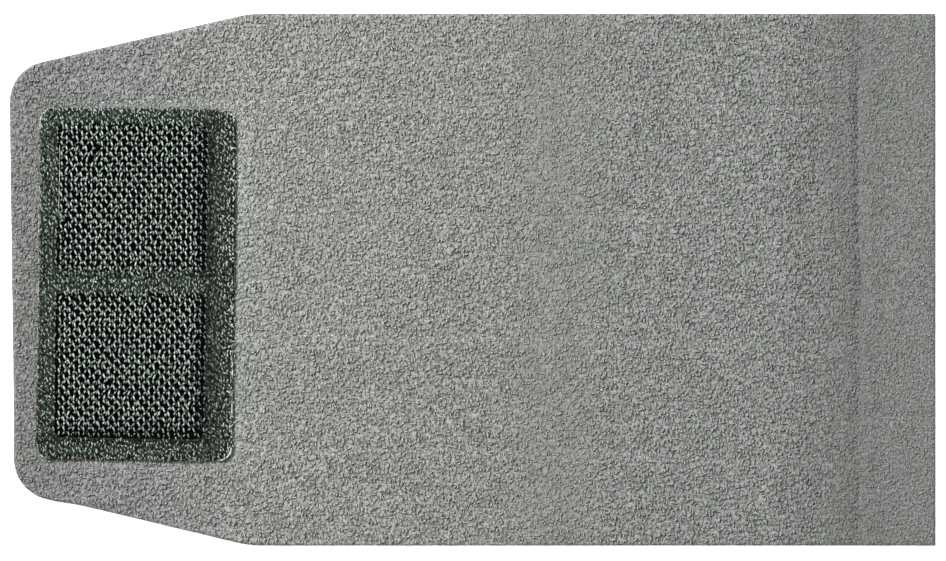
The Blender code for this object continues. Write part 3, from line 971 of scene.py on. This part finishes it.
def lattice_points(u_from, u_to, v_from, v_to, pitch_u, pitch_v):
    """The woven-in places of the hooks: columns whose rows are set off by half a pitch, turn about."""
    columns = np.arange(math.ceil(u_from / pitch_u), math.floor(u_to / pitch_u) + 1)
    rows = np.arange(math.ceil(v_from / pitch_v) - 1, math.floor(v_to / pitch_v) + 2)
    column, row = (grid.ravel() for grid in np.meshgrid(columns, rows))
    u, v = column * pitch_u, (row + 0.5 * (column % 2)) * pitch_v
    inside = (v >= v_from) & (v <= v_to)
    return u[inside], v[inside]


def on_patch(piece, slot, *replaced):
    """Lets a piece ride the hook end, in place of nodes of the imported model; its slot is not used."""
    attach(piece, "hook_end")
    if replaced:
        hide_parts(*replaced)
    return piece


def hook_field(name):
    """The hooks that stand in one window, with the stumps and the bent legs between them."""
    random = np.random.RandomState(HOOK_SEEDS[name])
    left, right = CELL_X
    low, high = CELLS_Y[name][0], CELLS_Y[name][1] + HOOKS_PAST[name]
    u, v = lattice_points(left - 0.0009, right + 0.0002, low + 0.00005, high, HOOK_PITCH_X, HOOK_PITCH_Y)
    u = u + random.normal(0, HOOK_JITTER[0], len(u))
    v = v + random.normal(0, HOOK_JITTER[1], len(v))
    sides = (                  # how much lower the hooks are at a side, how far inside it they are, its reach
        (0.00092, u - left + 0.0009, 0.003),
        (0.00095, right - u, 0.0036),
        (0.0008, high - v, 0.002),
        (LOW_END[name], v - low, 0.0048),
    )
    drop = np.maximum.reduce([depth * (1 - smooth(inside / reach)) for depth, inside, reach in sides])
    top = HOOK_TOP - 0.0002 - drop + random.normal(0, 0.00006, len(u))
    lean = np.where(random.uniform(size=len(u)) < BACK_LEANING, -1, 1) * random.uniform(*HOOK_LEANS, len(u))
    hooks, across = hook_paths(u, v, lean, top, random)
    stumps, stump_across = stump_paths(u, v, lean, top, random)
    standing = random.uniform(size=len(u)) > 0.004
    legs, leg_across = bent_paths(np.repeat(u, 2), np.repeat(v, 2), np.repeat(top, 2), random)
    in_window = window_distance(*patch_local(*stumps[:, -1, :2].T)) < 0.0003
    cut = (random.uniform(size=len(u)) > 0.01) & in_window
    crown = np.array((0.9, 0.95, 1, 1.05, 1.05, 1, 0.95, 0.85)) * HOOK_RADIUS
    post = np.array((1, 1, 1, 0.85)) * HOOK_RADIUS
    leg = LEG_RADIUS * np.array((0.8, 1, 1, 1, 0.8))
    standing_hooks = tubes(f"standing_hooks_{name}", hooks[standing], across[standing], crown, 5, HOOK)
    cut_stumps = tubes(f"cut_stumps_{name}", stumps[cut], stump_across[cut], post, 5, HOOK)
    bent_legs = tubes(f"bent_legs_{name}", legs, leg_across, leg, 5, HOOK)
    on_patch(standing_hooks, "hooks", f"hook_field_{name}")
    return [standing_hooks, on_patch(cut_stumps, "hooks"), on_patch(bent_legs, "hooks")]


def crushed_hooks():
    """Hooks pressed flat by the welding tool: thinning out past the windows, cut ends along the outline."""
    random = np.random.RandomState(33)
    ends = (-PATCH_HALF[0], PATCH_HALF[0], -PATCH_HALF[1], PATCH_HALF[1])
    u, v = lattice_points(*ends, HOOK_PITCH_X * 0.6, HOOK_PITCH_Y * 0.44)
    u = u + random.normal(0, 0.00015, len(u))
    v = v + random.normal(0, 0.00022, len(v))
    fray = random.uniform(-0.00015, 0.0002, len(u))
    gap = np.abs(u - CELL_X[0]) < 0.0006
    shaded = (u > CELL_X[1] - 0.0012) | (v < CELLS_Y["lower"][0] + 0.0012) | gap
    reach = np.where(shaded, random.uniform(-0.0012, 0.0002, len(u)), random.uniform(0.0003, 0.0016, len(u)))
    kept = (window_distance(u, v) > -reach) & (patch_distance(*patch_world(u, v)) < -fray)
    edge_u, edge_v = lattice_points(*ends, 0.00048, 0.00052)
    edge_u = edge_u + random.normal(0, 0.00012, len(edge_u))
    edge_v = edge_v + random.normal(0, 0.00012, len(edge_v))
    cut_end = np.abs(patch_distance(*patch_world(edge_u, edge_v)) + 0.00014) < 0.00018
    u, v = np.concatenate([u[kept], edge_u[cut_end]]), np.concatenate([v[kept], edge_v[cut_end]])
    count = len(u)
    heading = math.pi / 2 + random.normal(0.2, 0.45, count)
    half = random.uniform(0.00022, 0.00046, count)
    step = np.array((-1, -0.5, 0, 0.5, 1.0))[None, :]
    curl = random.uniform(-0.00016, 0.00016, count)[:, None] * (step**2 - 0.4)
    pu, pv, sideways = strokes(u, v, heading, half, step, curl)
    x, y = patch_world(pu, pv)
    loose = 0.00024 * random.uniform(size=count) * (np.abs(v - BAR_CENTRE_Y) < BAR_WIDTH / 2)
    z = frame_top(pu, pv) + (random.uniform(-0.00006, 0.0001, count) + loose)[:, None] - 0.00014 * step**4
    radii = random.uniform(0.00012, 0.00019, count)[:, None] * np.array((0.8, 1, 1.05, 1, 0.8))
    return on_patch(tubes("crushed_hooks", np.stack([x, y, z], axis=-1), sideways, radii, 5, CRUSHED), "weld")


def outline_run(side_u, side_v, start, stop, count):
    """Points along the patch's outline, measured from the middle of one of its rounded corners."""
    run = np.linspace(start, stop, count)
    arc = PATCH_CORNER * math.pi / 4
    turn = math.pi / 4 + np.clip(run, -arc, arc) / PATCH_CORNER
    past = run - np.clip(run, -arc, arc)
    u = PATCH_HALF[0] - PATCH_CORNER + PATCH_CORNER * np.cos(turn) - np.maximum(past, 0)
    v = PATCH_HALF[1] - PATCH_CORNER + PATCH_CORNER * np.sin(turn) + np.minimum(past, 0)
    return side_u * u, side_v * v


def weld_flash_and_highlight():
    """Pale beads of weld melt round the patch's edge, painted pale as a highlight, and a pale line beside a
    cell, a painted highlight on its lit edge.
    """
    random = np.random.RandomState(61)
    paths, radii, sideways = [], [], []
    count = FLASH_POINTS
    taper = np.sin(np.linspace(0.05, 1, count) * math.pi * 0.97) ** 0.4
    for side_u, side_v, start, stop, thick, gaps in FLASH_BEADS:
        u, v = outline_run(side_u, side_v, start, stop, count)
        x, y = patch_world(u, v)
        lump = np.interp(np.linspace(0, 24, count), np.arange(25), random.uniform(0.6 - 1.5 * gaps, 1.0, 25))
        paths.append(np.column_stack([x, y, frame_top(u, v)]))
        radii.append(thick * np.maximum(lump, 0.03) * taper)
        run = np.gradient(np.column_stack([x, y]), axis=0)
        run /= np.linalg.norm(run, axis=1, keepdims=True)
        sideways.append(np.column_stack([-run[:, 1], run[:, 0], np.zeros(count)]))
    v = np.linspace(*HIGHLIGHT_LINE_V, count)
    x, y = patch_world(HIGHLIGHT_LINE_U + 0.00005 * value_noise(v, v * 0, 0.0016, 15), v)
    paths.append(np.column_stack([x, y, HOOK_TOP - 0.00095 + 0.00006 * value_noise(v, v * 0, 0.0009, 16)]))
    radii.append(HIGHLIGHT_LINE_RADIUS * (0.7 + 0.5 * value_noise(v, v * 0, 0.0012, 17)) * taper)
    sideways.append(np.tile((1.0, 0.0, 0.0), (count, 1)))
    piece = tubes("weld_flash_and_highlight", np.stack(paths), np.stack(sideways), np.stack(radii), 6, FLASH_AND_HIGHLIGHT)
    return on_patch(piece, "weld")


def tape_base():
    """The woven base, sunk into the pressed cloth."""
    u, v, quads = patch_grid(0.0011, windows=False)
    top = TAPE_TOP + 0.00004 * value_noise(u, v, 0.0012, 13) - patch_sink(u, v)
    bottom = FACE_Z - 0.00035 + 0 * u
    flat = np.column_stack(patch_world(u, v))
    piece = slab("woven_tape_base", flat, quads, top, bottom, TAPE, 0.00008)
    return on_patch(piece, "hook_tape", "hook_tape_base")


def weld_frame():
    """The rim and the cross bar that the welding tool crushed into the tape."""
    u, v, quads = patch_grid(0.00027, windows=True)
    bottom = TAPE_TOP - 0.00008 - patch_sink(u, v)
    flat = np.column_stack(patch_world(u, v))
    piece = slab("crushed_weld_frame", flat, quads, frame_top(u, v), bottom, WELD, 0.00006)
    return on_patch(piece, "weld", "weld_frame")


# --- stage ---

def studio():
    """A white table, a soft overhead key from the far left, and pale light all round."""
    bpy.ops.mesh.primitive_plane_add(size=TABLE_SIZE, location=(0, 0, TABLE_Z))
    floor = bpy.context.object
    floor.name = "studio_floor"
    floor.data.materials.append(floor_material())
    world = bpy.data.worlds.new("studio")
    bpy.context.scene.world = world
    world.use_nodes = True
    sky = world.node_tree.nodes["Background"].inputs
    sky["Color"].default_value = SKY
    sky["Strength"].default_value = SKY_STRENGTH
    for name, at, size, power in LAMPS:
        light = bpy.data.lights.new(name, "AREA")
        light.size = size
        light.energy = power
        lamp = bpy.data.objects.new(name, light)
        lamp.location = at
        lamp.rotation_mode = "QUATERNION"
        lamp.rotation_quaternion = lamp.location.to_track_quat("Z", "Y")
        bpy.context.scene.collection.objects.link(lamp)


def camera():
    """Straight down on the loop face."""
    data = bpy.data.cameras.new("camera")
    data.lens = CAMERA_LENS
    data.clip_end = 10
    made = bpy.data.objects.new("camera", data)
    made.location = (*CAMERA_PLACE, FACE_Z + CAMERA_WIDTH * CAMERA_LENS / data.sensor_width)
    bpy.context.scene.collection.objects.link(made)
    bpy.context.scene.camera = made
    bpy.context.scene.view_settings.view_transform = "Standard"


# --- assembly ---

camera()
studio()

(facing, facing_area), (facing_far, facing_far_area) = both_halves(
    "loop_ground", 0.0009, 0, ground_top, FACING_BOTTOM - 0.0001, GROUND, 0.00005)
(foam, _), (foam_far, _) = both_halves("foam", 0.002, 0.0003, foam_top, LINING_TOP + 0.00005, FOAM, 0.00022)
(lining, lining_area), (lining_far, lining_far_area) = both_halves(
    "lining", 0.0012, 0, LINING_TOP, lining_bottom, LINING, 0.00008)

strands = pile_strands()
for number, (x_from, x_to) in enumerate(zip(PILE_BREAKS, PILE_BREAKS[1:]), start=1):
    pile_piece(f"loop_pile_{number}", strands, (strands[0] >= x_from) & (strands[0] < x_to))

needles, needles_far, bobbins, bobbins_far = (
    row_threads(f"{kind}_stitches_{half}", x_from, x_to, kind == "bobbin")
    for kind in ("needle", "bobbin")
    for half, x_from, x_to in (("main", ROW_START_X, SPLIT_X), ("anchor", SPLIT_X, ROW_END_X))
)
seam_top = seam_thread("seam_needle_stitches", False)
seam_under = seam_thread("seam_bobbin_stitches", True)

base = tape_base()
weld = weld_frame()
crushed = crushed_hooks()
flash_and_highlight = weld_flash_and_highlight()
hooks = [piece for name in CELLS_Y for piece in hook_field(name)]

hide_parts("loop_facing_hook_end", "loop_facing_crease_web", "loop_facing_middle_panel")
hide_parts("loop_facing_anchor_web", "loop_facing_anchor_end")
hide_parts("foam_core_hook_end", "foam_core_middle_panel")
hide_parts("foam_core_anchor_end")
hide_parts("lining_hook_end", "lining_crease_web", "lining_middle_panel")
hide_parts("lining_anchor_web", "lining_anchor_end")
for row in ROWS:
    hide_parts(f"needle_thread_{row}_hook_end", f"needle_thread_{row}_middle_panel")
    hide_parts(f"bobbin_thread_{row}_hook_end", f"bobbin_thread_{row}_middle_panel")
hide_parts("seam_needle_thread")
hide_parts("seam_bobbin_thread")
